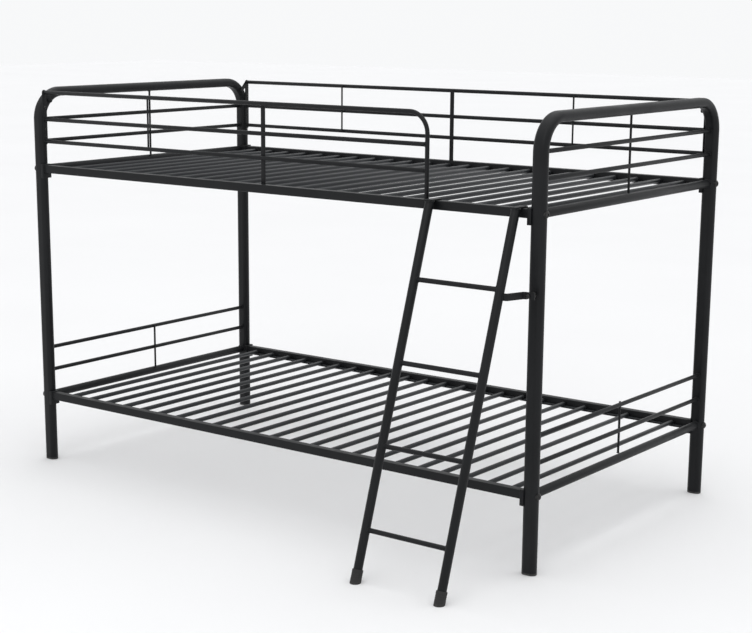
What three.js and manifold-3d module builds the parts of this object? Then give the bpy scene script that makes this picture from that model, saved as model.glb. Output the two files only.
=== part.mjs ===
// Twin-over-twin metal bunk bed with an angled hook-on ladder.
// Millimetres, +Z up. X runs along the length of the bed, -Y is the ladder side.
// The origin is on the floor, at the centre of the whole object's footprint.
import * as THREE from "three";
import { mergeVertices } from "three/addons/utils/BufferGeometryUtils.js";
import Module from "manifold-3d";

// ---------------------------------------------------------------- dimensions
const GAP = 0.3; // clearance between pieces that touch

// End frames: one flat-oval tube bent into an inverted U.
const LENGTH_CC = 1932; // post centre to post centre, along X
const WIDTH_CC = 1008; // post centre to post centre, along Y
const POST_X = 45; // flat-oval tube, wide way
const POST_Y = 30; // flat-oval tube, narrow way
const POST_WALL = 1.2;
const TOP_Z = 1251; // centreline of the top run
const BEND_R = 90; // centreline radius of the top corners
const BEND_STEPS = 5;

// Levels above the floor.
const LOWER_Z = 227; // lower side rails and cross rails, centre
const UPPER_Z = 1000; // upper side rails and cross rails, centre
const BAR_PITCH = 78; // spacing of the thin horizontal bars
const GUARD_MID_Z = TOP_Z - 88;
const GUARD_LOW_Z = TOP_Z - 160;
const FOOT_HIGH_Z = 391; // thin bars of the lower bunk's ends
const FOOT_LOW_Z = FOOT_HIGH_Z - BAR_PITCH;

// Round tubes and rods.
const CROSS_D = 25.4; // cross rails
const CROSS_WALL = 1.2;
const BAR_D = 12.7; // thin horizontal bars
const BAR_WALL = 1.0;
const END_ROD_D = 7; // upright rods in the end frames
const GUARD_ROD_D = 6; // upright rods in the long guards

// Side rails: square tube with a ledge along the inside bottom edge.
const RAIL = 25.4;
const RAIL_WALL = 1.5;
const LEDGE_W = 18;
const LEDGE_T = 2;
const SADDLE_DEPTH = 8; // how far the end saddle wraps round the post
const SADDLE_T = 4.5;
const SADDLE_UP = 16;
const SADDLE_DOWN = 30;
const BOLT_D = 8;
const BOLT_HOLE_D = 9;
const BOLT_REACH = 70; // from under the head to the end of the thread

// Slat panels: round slats welded on two flat strips.
const SLAT_BAYS = 24;
const SLAT_PITCH = LENGTH_CC / SLAT_BAYS;
const SLAT_D = 14;
const SLAT_WALL = 1.0;
const SLAT_HALF = 482.5; // half length of a slat
const STRIP_W = 15;
const STRIP_T = 3;
const STRIP_END = 925;
const WELD = 0.8; // how far a slat sinks into its strip

// Long guards.
const GUARD_END_X = 602; // end post of the front guard
const GUARD_BEND_R = 60;
const STRAP_T = 3;
const STRAP_W = 18;
const FLAT_W = 15; // flat upright, seen from the front
const FLAT_T = 4;

// Foot glides.
const GLIDE_T = 6;
const GLIDE_PLUG = 24;

// Ladder.
const LADDER_X = [632, 910]; // rail centrelines
const LADDER_FOOT_Y = -859; // rail centreline where it meets the floor
const LADDER_SLOPE = 0.3233; // dy/dz
const LADDER_D = 25.4;
const LADDER_WALL = 1.2;
const LADDER_TOP_Z = 1012;
const RUNG_D = 14;
const RUNG_WALL = 1.2;
const RUNG_Z = [141, 362, 583, 804];
const HOOK_W = 22;
const HOOK_T = 4;
const HOOK_DROP = 19;
const CAP_R = 15.5;
const CAP_TOP = 38;
const RAIL_START = 10;
const STAY_Z = 787;
const STAY_H = 20;
const STAY_T = 4;
const STAY_Y = -548.5;
const STUD_Z = 786;
const STUD_SHANK_D = 8;

const HX = LENGTH_CC / 2;
const HY = WIDTH_CC / 2;

// ---------------------------------------------------------------- materials
const steel = () =>
  new THREE.MeshStandardMaterial({ color: 0x25282a, roughness: 0.45, metalness: 0.35 });
const slatSteel = () =>
  new THREE.MeshStandardMaterial({ color: 0x2c3032, roughness: 0.42, metalness: 0.35 });
const plastic = () =>
  new THREE.MeshStandardMaterial({ color: 0x151617, roughness: 0.7, metalness: 0 });
const rubber = () =>
  new THREE.MeshStandardMaterial({ color: 0x101010, roughness: 0.85, metalness: 0 });
const boltSteel = () =>
  new THREE.MeshStandardMaterial({ color: 0x1b1c1d, roughness: 0.35, metalness: 0.6 });

// ---------------------------------------------------------------- solids
const wasm = await Module();
wasm.setup();

function solid(geometry) {
  let g = geometry.index ? geometry.toNonIndexed() : geometry.clone();
  g.deleteAttribute("normal");
  g.deleteAttribute("uv");
  g = mergeVertices(g, 1e-4);
  return new wasm.Manifold(
    new wasm.Mesh({
      numProp: 3,
      vertProperties: new Float32Array(g.attributes.position.array),
      triVerts: new Uint32Array(g.index.array),
    }),
  );
}

function geometryOf(manifold) {
  const m = manifold.getMesh();
  const g = new THREE.BufferGeometry();
  g.setAttribute("position", new THREE.BufferAttribute(new Float32Array(m.vertProperties), 3));
  g.setIndex(new THREE.BufferAttribute(new Uint32Array(m.triVerts), 1));
  const flat = g.toNonIndexed();
  flat.computeVertexNormals();
  return flat;
}

const box = (x0, x1, y0, y1, z0, z1) =>
  new THREE.BoxGeometry(x1 - x0, y1 - y0, z1 - z0).translate(
    (x0 + x1) / 2,
    (y0 + y1) / 2,
    (z0 + z1) / 2,
  );

// ---------------------------------------------------------------- sections
// A regular outline whose flats are `across` apart, counter-clockwise.
function round(across, sides) {
  const r = across / 2 / Math.cos(Math.PI / sides);
  return Array.from({ length: sides }, (_, i) => {
    const a = ((i + 0.5) / sides) * Math.PI * 2;
    return new THREE.Vector2(r * Math.cos(a), r * Math.sin(a));
  });
}

// A flat oval, long way along y, counter-clockwise.
function flatOval(long, short, steps = 6) {
  const r = short / 2;
  const c = (long - short) / 2;
  const pts = [];
  for (let i = 0; i <= steps; i++) {
    const a = (i / steps) * Math.PI;
    pts.push(new THREE.Vector2(r * Math.cos(a), c + r * Math.sin(a)));
  }
  for (let i = 0; i <= steps; i++) {
    const a = Math.PI + (i / steps) * Math.PI;
    pts.push(new THREE.Vector2(r * Math.cos(a), -c + r * Math.sin(a)));
  }
  return pts;
}

function section(outer, inner) {
  const s = new THREE.Shape(outer);
  if (inner) s.holes.push(new THREE.Path([...inner].reverse()));
  return s;
}

// A planar route with its own stations, so that straight runs take one step.
class Route extends THREE.Curve {
  constructor(stations, side) {
    super();
    this.stations = stations; // [{p, t}]
    this.side = side; // normal of the route's plane
  }
  at(u, key) {
    const n = this.stations.length - 1;
    const i = Math.min(Math.round(u * n), n);
    return this.stations[i][key].clone();
  }
  getPoint(u) {
    return this.at(u, "p");
  }
  getPointAt(u) {
    return this.at(u, "p");
  }
  getTangentAt(u) {
    return this.at(u, "t");
  }
  computeFrenetFrames(segments) {
    const tangents = [];
    const normals = [];
    const binormals = [];
    for (let i = 0; i <= segments; i++) {
      const t = this.at(i / segments, "t");
      tangents.push(t);
      binormals.push(this.side.clone());
      normals.push(new THREE.Vector3().crossVectors(this.side, t));
    }
    return { tangents, normals, binormals };
  }
}

function along(stations, side, shape) {
  return new THREE.ExtrudeGeometry(shape, {
    steps: stations.length - 1,
    extrudePath: new Route(stations, side),
    curveSegments: 1,
  });
}

// Stations round a quarter bend: centre c, from direction a to direction b.
function bend(c, r, a, b, steps) {
  return Array.from({ length: steps + 1 }, (_, i) => {
    const w = (i / steps) * (Math.PI / 2);
    const out = a.clone().multiplyScalar(Math.cos(w)).addScaledVector(b, Math.sin(w));
    const tan = a.clone().multiplyScalar(-Math.sin(w)).addScaledVector(b, Math.cos(w));
    return { p: c.clone().addScaledVector(out, r), t: tan };
  });
}

const V = (x, y, z) => new THREE.Vector3(x, y, z);

function cylinderX(x0, x1, y, z, d, sides = 12) {
  const g = new THREE.CylinderGeometry(d / 2, d / 2, x1 - x0, sides);
  g.rotateZ(Math.PI / 2);
  return g.translate((x0 + x1) / 2, y, z);
}

// ---------------------------------------------------------------- scene graph
const bed = new THREE.Group();

function add(parent, name, geometry, material) {
  const mesh = new THREE.Mesh(geometry, material);
  mesh.name = name;
  parent.add(mesh);
  return mesh;
}

// A straight tube or rod from a to b.
function straight(parent, name, a, b, shape, material, up = V(0, 0, 1)) {
  const dir = b.clone().sub(a);
  const mesh = add(
    parent,
    name,
    new THREE.ExtrudeGeometry(shape, { depth: dir.length(), bevelEnabled: false, steps: 1, curveSegments: 1 }),
    material,
  );
  const z = dir.clone().normalize();
  const x = new THREE.Vector3().crossVectors(up, z).normalize();
  const y = new THREE.Vector3().crossVectors(z, x);
  mesh.quaternion.setFromRotationMatrix(new THREE.Matrix4().makeBasis(x, y, z));
  mesh.position.copy(a);
  return mesh;
}

const hollow = (d, wall, sides) => section(round(d, sides), round(d - 2 * wall, sides));
const postOuter = (grow = 0) => flatOval(POST_X + 2 * grow, POST_Y + 2 * grow);

// ---------------------------------------------------------------- end frames
function endTube() {
  const up = V(0, 0, 1);
  const down = V(0, 0, -1);
  const rear = V(0, 1, 0);
  const front = V(0, -1, 0);
  const z0 = GLIDE_T + GAP;
  const stations = [
    { p: V(0, -HY, z0), t: up.clone() },
    ...bend(V(0, -HY + BEND_R, TOP_Z - BEND_R), BEND_R, front, up, BEND_STEPS),
    ...bend(V(0, HY - BEND_R, TOP_Z - BEND_R), BEND_R, up, rear, BEND_STEPS),
    { p: V(0, HY, z0), t: down.clone() },
  ];
  let tube = solid(
    along(
      stations,
      V(1, 0, 0),
      section(postOuter(), flatOval(POST_X - 2 * POST_WALL, POST_Y - 2 * POST_WALL)),
    ),
  );
  for (const y of [-HY, HY])
    for (const z of [LOWER_Z, UPPER_Z])
      tube = tube.subtract(solid(cylinderX(-40, 40, y, z, BOLT_HOLE_D)));
  return geometryOf(tube);
}

function glide() {
  const flange = solid(
    new THREE.ExtrudeGeometry(section(postOuter()), { depth: GLIDE_T, bevelEnabled: false, curveSegments: 1 }),
  );
  const w = POST_WALL + GAP;
  const plug = new THREE.ExtrudeGeometry(section(flatOval(POST_X - 2 * w, POST_Y - 2 * w)), {
    depth: GLIDE_PLUG,
    bevelEnabled: false,
    curveSegments: 1,
  }).translate(0, 0, GLIDE_T - 1);
  return geometryOf(flange.add(solid(plug)));
}

for (const [side, s] of [
  ["left", -1],
  ["right", 1],
]) {
  const end = new THREE.Group();
  end.position.set(s * HX, 0, 0);
  bed.add(end);
  add(end, `${side}_end_frame_tube`, endTube(), steel());

  const inner = HY - POST_Y / 2 - GAP;
  const cross = (name, z, d, wall, half, sides) =>
    straight(end, `${side}_${name}`, V(0, -half, z), V(0, half, z), hollow(d, wall, sides), steel());
  cross("upper_cross_rail", UPPER_Z, CROSS_D, CROSS_WALL, inner, 12);
  cross("lower_cross_rail", LOWER_Z, CROSS_D, CROSS_WALL, inner, 12);
  cross("guard_bar_high", GUARD_MID_Z, BAR_D, BAR_WALL, inner - 3.2, 8);
  cross("guard_bar_low", GUARD_LOW_Z, BAR_D, BAR_WALL, inner, 8);
  cross("footboard_bar_high", FOOT_HIGH_Z, BAR_D, BAR_WALL, inner, 8);
  cross("footboard_bar_low", FOOT_LOW_Z, BAR_D, BAR_WALL, inner, 8);

  // Upright rods run down the inside of the thin bars.
  const rx = -s * (BAR_D / 2 + END_ROD_D / 2 + 2 * GAP);
  const rod = section(round(END_ROD_D, 8));
  straight(end, `${side}_guard_upright`, V(rx, 0, UPPER_Z + 11.9), V(rx, 0, TOP_Z - POST_Y / 2 - GAP), rod, steel(), V(0, 1, 0));
  straight(end, `${side}_footboard_upright`, V(rx, 0, LOWER_Z + 11.9), V(rx, 0, FOOT_HIGH_Z + 5), rod, steel(), V(0, 1, 0));

  for (const [where, y] of [
    ["front", -HY],
    ["rear", HY],
  ]) {
    // The outlines run long way along y, and the post runs long way along X.
    const g = add(end, `${side}_${where}_foot_glide`, glide(), plastic());
    g.rotation.z = Math.PI / 2;
    g.position.set(0, y, 0);
  }
}

// ---------------------------------------------------------------- side rails
// One rail along X, its ledge on the +Y side, centred on the rail's axis.
function sideRail() {
  const h = RAIL / 2;
  const w = h - RAIL_WALL;
  const end = HX - POST_X / 2 - GAP; // nearest the rail may come to the post
  const tubeEnd = end - SADDLE_T + 1;
  // Outline in (y, z).
  const outline = [
    [-h, -h],
    [h + LEDGE_W, -h],
    [h + LEDGE_W, -h + LEDGE_T],
    [h, -h + LEDGE_T],
    [h, h],
    [-h, h],
  ].map(([a, b]) => new THREE.Vector2(a, b));
  const bore = [
    [-w, -w],
    [w, -w],
    [w, w],
    [-w, w],
  ].map(([a, b]) => new THREE.Vector2(a, b));
  const g = new THREE.ExtrudeGeometry(section(outline, bore), {
    depth: 2 * tubeEnd,
    bevelEnabled: false,
    curveSegments: 1,
  });
  // Shape x becomes Y, shape y becomes Z, depth becomes X.
  g.applyMatrix4(
    new THREE.Matrix4().makeBasis(V(0, 1, 0), V(0, 0, 1), V(1, 0, 0)).setPosition(-tubeEnd, 0, 0),
  );
  let rail = solid(g);
  for (const s of [-1, 1]) {
    const a = s * (end - SADDLE_T);
    const b = s * (end + SADDLE_DEPTH);
    let saddle = solid(
      box(Math.min(a, b), Math.max(a, b), -POST_Y / 2 - 2.5, POST_Y / 2 + 2.5, -SADDLE_DOWN, SADDLE_UP),
    );
    const post = new THREE.ExtrudeGeometry(section(postOuter(GAP)), {
      depth: 200,
      bevelEnabled: false,
      curveSegments: 1,
    })
      .rotateZ(Math.PI / 2)
      .translate(s * HX, 0, -100);
    saddle = saddle.subtract(solid(post));
    const x0 = Math.min(s * (end - 20), s * (end + 20));
    saddle = saddle.subtract(solid(cylinderX(x0, x0 + 40, 0, 0, BOLT_HOLE_D)));
    rail = rail.add(saddle);
  }
  return geometryOf(rail);
}

const BOLT = [
  [0, 0],
  [BOLT_D / 2, 0],
  [BOLT_D / 2, BOLT_REACH],
  [9, BOLT_REACH],
  [9, BOLT_REACH + 2.2],
  [6.5, BOLT_REACH + 4.6],
  [0, BOLT_REACH + 5.2],
].map(([a, b]) => new THREE.Vector2(a, b));

for (const [deck, z] of [
  ["upper", UPPER_Z],
  ["lower", LOWER_Z],
])
  for (const [where, sy] of [
    ["front", -1],
    ["rear", 1],
  ]) {
    const rail = add(bed, `${deck}_${where}_rail`, sideRail(), steel());
    rail.position.set(0, sy * HY, z);
    if (sy > 0) rail.rotation.z = Math.PI; // ledge faces the middle of the bed
    for (const [side, s] of [
      ["left", -1],
      ["right", 1],
    ]) {
      const bolt = add(bed, `${deck}_${where}_${side}_bolt`, new THREE.LatheGeometry(BOLT, 12), boltSteel());
      bolt.rotation.z = (-s * Math.PI) / 2; // local +Y points out of the end of the bed
      bolt.position.set(s * (HX + POST_X / 2 + GAP - BOLT_REACH), sy * HY, z);
    }
  }

// ---------------------------------------------------------------- slat panels
const SLAT_BOTTOM = -RAIL / 2 + LEDGE_T + GAP + STRIP_T - WELD;

function slatPanel(first, last, x0, x1) {
  let panel;
  const lift = -RAIL / 2 + LEDGE_T + GAP;
  const outer = HY - RAIL / 2 - 0.8;
  for (const s of [-1, 1]) {
    const ya = s * outer;
    const yb = s * (outer - STRIP_W);
    const strip = solid(box(x0, x1, Math.min(ya, yb), Math.max(ya, yb), lift, lift + STRIP_T));
    panel = panel ? panel.add(strip) : strip;
  }
  for (let k = first; k <= last; k++) {
    const g = new THREE.ExtrudeGeometry(hollow(SLAT_D, SLAT_WALL, 8), {
      depth: 2 * SLAT_HALF,
      bevelEnabled: false,
      curveSegments: 1,
    });
    g.rotateX(Math.PI / 2);
    g.translate((k - SLAT_BAYS / 2) * SLAT_PITCH, SLAT_HALF, SLAT_BOTTOM + SLAT_D / 2);
    panel = panel.add(solid(g));
  }
  return geometryOf(panel);
}

const SPLIT = -SLAT_PITCH / 2;
for (const [deck, z] of [
  ["upper", UPPER_Z],
  ["lower", LOWER_Z],
]) {
  add(bed, `${deck}_left_slat_panel`, slatPanel(1, 11, -STRIP_END, SPLIT - GAP / 2), slatSteel()).position.z = z;
  add(bed, `${deck}_right_slat_panel`, slatPanel(12, 23, SPLIT + GAP / 2, STRIP_END), slatSteel()).position.z = z;
}

// ---------------------------------------------------------------- long guards
const STRAP_X = HX - POST_X / 2 - GAP; // outer face of a strap, against the post
const RAIL_TOP = UPPER_Z + RAIL / 2;

// End strap with its corner lug, for the end s of a guard on the side sy.
function strap(s, sy) {
  const xa = s * STRAP_X;
  const xb = s * (STRAP_X - STRAP_T);
  const x0 = Math.min(xa, xb);
  const x1 = Math.max(xa, xb);
  let g = solid(box(x0, x1, sy * HY - STRAP_W / 2, sy * HY + STRAP_W / 2, GUARD_LOW_Z - 12, TOP_Z + 8));
  const reach = BEND_R * (Math.SQRT2 - 1); // corner of the outline to the bend centreline
  const lug = new THREE.BoxGeometry(STRAP_T, 20, reach + 18);
  lug.rotateX((-sy * Math.PI) / 4);
  const mid = reach / 2 / Math.SQRT2;
  lug.translate((x0 + x1) / 2, sy * (HY - mid), TOP_Z - mid);
  g = g.add(solid(lug));
  // Vent hole in line with the bar's bore.
  return g.subtract(solid(cylinderX(x0 - 5, x1 + 5, sy * HY, TOP_Z, 6, 8)));
}

const barSection = hollow(BAR_D, BAR_WALL, 8);
{
  const y = -HY;
  const x0 = -(STRAP_X - STRAP_T) - 0.5;
  const stations = [
    { p: V(x0, y, TOP_Z), t: V(1, 0, 0) },
    ...bend(V(GUARD_END_X - GUARD_BEND_R, y, TOP_Z - GUARD_BEND_R), GUARD_BEND_R, V(0, 0, 1), V(1, 0, 0), BEND_STEPS),
    { p: V(GUARD_END_X, y, RAIL_TOP + GAP), t: V(0, 0, -1) },
  ];
  const rail = solid(along(stations, V(0, 1, 0), barSection)).add(strap(-1, -1));
  add(bed, "front_guard_top_rail", geometryOf(rail), steel());
  const a = -(STRAP_X - STRAP_T) + GAP;
  const b = GUARD_END_X - BAR_D / 2 - 0.6;
  straight(bed, "front_guard_mid_bar", V(a, y, GUARD_MID_Z), V(b, y, GUARD_MID_Z), barSection, steel());
  straight(bed, "front_guard_low_bar", V(a, y, GUARD_LOW_Z), V(b, y, GUARD_LOW_Z), barSection, steel());
}
{
  const y = HY;
  const x1 = STRAP_X - STRAP_T + 0.5;
  const stations = [
    { p: V(-x1, y, TOP_Z), t: V(1, 0, 0) },
    { p: V(x1, y, TOP_Z), t: V(1, 0, 0) },
  ];
  const rail = solid(along(stations, V(0, 1, 0), barSection)).add(strap(-1, 1)).add(strap(1, 1));
  add(bed, "rear_guard_top_rail", geometryOf(rail), steel());
  const a = STRAP_X - STRAP_T - GAP;
  straight(bed, "rear_guard_mid_bar", V(-a, y, GUARD_MID_Z), V(a, y, GUARD_MID_Z), barSection, steel());
  straight(bed, "rear_guard_low_bar", V(-a, y, GUARD_LOW_Z), V(a, y, GUARD_LOW_Z), barSection, steel());
}

// Flat uprights and thin rods lie on the inside face of the bars.
for (const [where, sy] of [
  ["front", -1],
  ["rear", 1],
]) {
  const y = sy * (HY - BAR_D / 2 - FLAT_T / 2 - GAP);
  add(
    bed,
    `${where}_guard_upright`,
    box(-FLAT_W / 2, FLAT_W / 2, y - FLAT_T / 2, y + FLAT_T / 2, RAIL_TOP + GAP, TOP_Z + 5),
    steel(),
  );
  const ry = sy * (HY - BAR_D / 2 - GUARD_ROD_D / 2 - 3 * GAP);
  const rods = sy < 0 ? [["left", -1]] : [["left", -1], ["right", 1]];
  for (const [side, s] of rods)
    straight(
      bed,
      `${where}_guard_${side}_rod`,
      V(s * 478, ry, GUARD_LOW_Z - 5),
      V(s * 478, ry, TOP_Z + 4),
      section(round(GUARD_ROD_D, 6)),
      steel(),
      V(0, 1, 0),
    );
}

// ---------------------------------------------------------------- ladder
const ladder = new THREE.Group();
bed.add(ladder);
const ladderY = (z) => LADDER_FOOT_Y + LADDER_SLOPE * z;
const axis = V(0, LADDER_SLOPE, 1).normalize();
const ladderUp = V(1, 0, 0);
const onAxis = (x, s) => V(x, LADDER_FOOT_Y, 0).addScaledVector(axis, s);

// A tube or solid on the ladder's slope, from s0 to s1 along it.
function sloped(x, s0, s1, shape) {
  const g = new THREE.ExtrudeGeometry(shape, { depth: s1 - s0, bevelEnabled: false, curveSegments: 1 });
  const y = new THREE.Vector3().crossVectors(axis, ladderUp);
  return g.applyMatrix4(new THREE.Matrix4().makeBasis(ladderUp, y, axis).setPosition(onAxis(x, s0)));
}

function ladderRail(x) {
  const top = LADDER_TOP_Z / axis.z;
  let rail = solid(sloped(x, RAIL_START, top, hollow(LADDER_D, LADDER_WALL, 12)));
  const over = RAIL_TOP + GAP;
  const inside = -HY + RAIL / 2 + GAP;
  const outside = ladderY(over) - LADDER_D / 2 - 1;
  // Strap over the rail and down behind it.
  rail = rail.add(solid(box(x - HOOK_W / 2, x + HOOK_W / 2, outside, inside + HOOK_T, over, over + HOOK_T)));
  rail = rail.add(
    solid(box(x - HOOK_W / 2, x + HOOK_W / 2, inside, inside + HOOK_T, over - HOOK_DROP, over + 1)),
  );
  return geometryOf(rail);
}

function ladderCap(x) {
  let cap = solid(sloped(x, -14, CAP_TOP, section(round(2 * CAP_R, 12))));
  cap = cap.subtract(solid(sloped(x, RAIL_START - GAP, CAP_TOP + 10, section(round(LADDER_D + 2 * GAP, 12)))));
  cap = cap.intersect(solid(box(x - 60, x + 60, LADDER_FOOT_Y - 80, LADDER_FOOT_Y + 80, 0, 120)));
  return geometryOf(cap);
}

["left", "right"].forEach((side, i) => {
  add(ladder, `ladder_${side}_rail`, ladderRail(LADDER_X[i]), steel());
  add(ladder, `ladder_${side}_foot_cap`, ladderCap(LADDER_X[i]), rubber());
});

RUNG_Z.forEach((z, i) => {
  const y = ladderY(z);
  const off = LADDER_D / 2 + GAP;
  straight(
    ladder,
    `ladder_rung_${i + 1}`,
    V(LADDER_X[0] + off, y, z),
    V(LADDER_X[1] - off, y, z),
    hollow(RUNG_D, RUNG_WALL, 8),
    steel(),
  );
});

// Stay: a bent flat bar from the right ladder rail to the front right post.
{
  const y0 = ladderY(STAY_Z);
  const route = [
    [LADDER_X[1] + LADDER_D / 2 + 0.5, y0],
    [934, y0],
    [953, STAY_Y],
    [986, STAY_Y],
  ].map(([a, b]) => new THREE.Vector2(a, b));
  const side = (sign) =>
    route.map((p, i) => {
      const d0 = i > 0 ? p.clone().sub(route[i - 1]).normalize() : null;
      const d1 = i < route.length - 1 ? route[i + 1].clone().sub(p).normalize() : null;
      const n = (d) => new THREE.Vector2(-d.y, d.x);
      if (!d0) return p.clone().addScaledVector(n(d1), (sign * STAY_T) / 2);
      if (!d1) return p.clone().addScaledVector(n(d0), (sign * STAY_T) / 2);
      const m = n(d0).add(n(d1)).normalize();
      return p.clone().addScaledVector(m, (sign * STAY_T) / 2 / m.dot(n(d0)));
    });
  const outline = [...side(-1), ...side(1).reverse()];
  let stay = solid(
    new THREE.ExtrudeGeometry(section(outline), { depth: STAY_H, bevelEnabled: false, curveSegments: 1 }).translate(
      0,
      0,
      STAY_Z - STAY_H / 2,
    ),
  );
  // Notch, open downwards, that drops over the stud.
  const w = STUD_SHANK_D / 2 + 0.5;
  stay = stay.subtract(solid(box(HX - w, HX + w, STAY_Y - 8, STAY_Y + 8, STAY_Z - 40, STUD_Z)));
  const head = new THREE.CylinderGeometry(w, w, 16, 12).translate(HX, STAY_Y, STUD_Z);
  stay = stay.subtract(solid(head));
  add(ladder, "ladder_stay", geometryOf(stay), steel());
}

// Headed stud on the front right post, which holds the stay.
{
  const base = HY + POST_Y / 2 + GAP;
  const r = STUD_SHANK_D / 2;
  const y1 = -STAY_Y + STAY_T / 2 + 1.5;
  const profile = [
    [0, base],
    [8, base],
    [8, base + 2.5],
    [r, base + 3.5],
    [r, y1],
    [7, y1],
    [7, y1 + 2],
    [5, y1 + 3.4],
    [0, y1 + 3.8],
  ].map(([a, b]) => new THREE.Vector2(a, b));
  const stud = add(bed, "ladder_stay_stud", new THREE.LatheGeometry(profile, 12), boltSteel());
  stud.rotation.z = Math.PI; // local +Y points to the front
  stud.position.set(HX, 0, STUD_Z);
}

// ---------------------------------------------------------------- origin
// The floor point at the centre of the whole footprint, ladder included.
const root = new THREE.Group();
root.add(bed);
const extent = new THREE.Box3().setFromObject(bed);
bed.position.y = -(extent.min.y + extent.max.y) / 2;
bed.position.x = -(extent.min.x + extent.max.x) / 2;

export default root;
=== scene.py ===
"""Bunk bed with a hook-on ladder: the visual model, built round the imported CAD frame.

Lengths in the builders below are millimetres in the bed's own frame, which is the
row frame moved along Y so that the four posts are centred. make() turns them into metres.
"""

import math

import bmesh
import bpy
import numpy as np
from mathutils import Matrix, Vector


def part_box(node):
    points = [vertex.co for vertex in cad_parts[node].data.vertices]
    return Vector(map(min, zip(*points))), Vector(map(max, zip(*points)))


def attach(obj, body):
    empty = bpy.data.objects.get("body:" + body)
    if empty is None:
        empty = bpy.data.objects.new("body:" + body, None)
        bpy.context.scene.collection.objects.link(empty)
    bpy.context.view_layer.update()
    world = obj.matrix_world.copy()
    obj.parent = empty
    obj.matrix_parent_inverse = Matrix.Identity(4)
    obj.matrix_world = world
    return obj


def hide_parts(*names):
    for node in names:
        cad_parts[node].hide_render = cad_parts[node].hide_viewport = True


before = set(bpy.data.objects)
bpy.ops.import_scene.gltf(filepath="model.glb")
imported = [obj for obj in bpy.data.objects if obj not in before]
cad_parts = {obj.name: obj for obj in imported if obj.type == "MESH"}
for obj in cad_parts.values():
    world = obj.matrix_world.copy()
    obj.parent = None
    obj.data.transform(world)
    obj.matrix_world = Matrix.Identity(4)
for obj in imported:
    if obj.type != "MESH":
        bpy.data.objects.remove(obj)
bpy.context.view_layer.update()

BED = "bed_frame"
LADDER = "ladder"

# ------------------------------------------------------------------ places from the CAD
_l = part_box("left_end_frame_tube")
_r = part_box("right_end_frame_tube")
YC = (_l[0].y + _l[1].y) / 2 * 1000  # the posts' middle in the row frame
HX = (_r[0].x + _r[1].x - _l[0].x - _l[1].x) / 4 * 1000
HY = (_l[1].y - _l[0].y) / 2 * 1000 - 15
TOP = _l[1].z * 1000 - 15
POST_FOOT = _l[0].z * 1000


def mid(node, axis):
    lo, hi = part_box(node)
    return (lo[axis] + hi[axis]) / 2 * 1000


UPPER = mid("left_upper_cross_rail", 2)
LOWER = mid("left_lower_cross_rail", 2)
GUARD_MID = mid("left_guard_bar_high", 2)
GUARD_LOW = mid("left_guard_bar_low", 2)
FOOT_HIGH = mid("left_footboard_bar_high", 2)
FOOT_LOW = mid("left_footboard_bar_low", 2)
BEND_R = 90.0
RAIL_TOP = UPPER + 12.7

X3 = np.array([1.0, 0.0, 0.0])
Y3 = np.array([0.0, 1.0, 0.0])
Z3 = np.array([0.0, 0.0, 1.0])


def unit(v):
    v = np.asarray(v, float)
    return v / np.linalg.norm(v)


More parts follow.
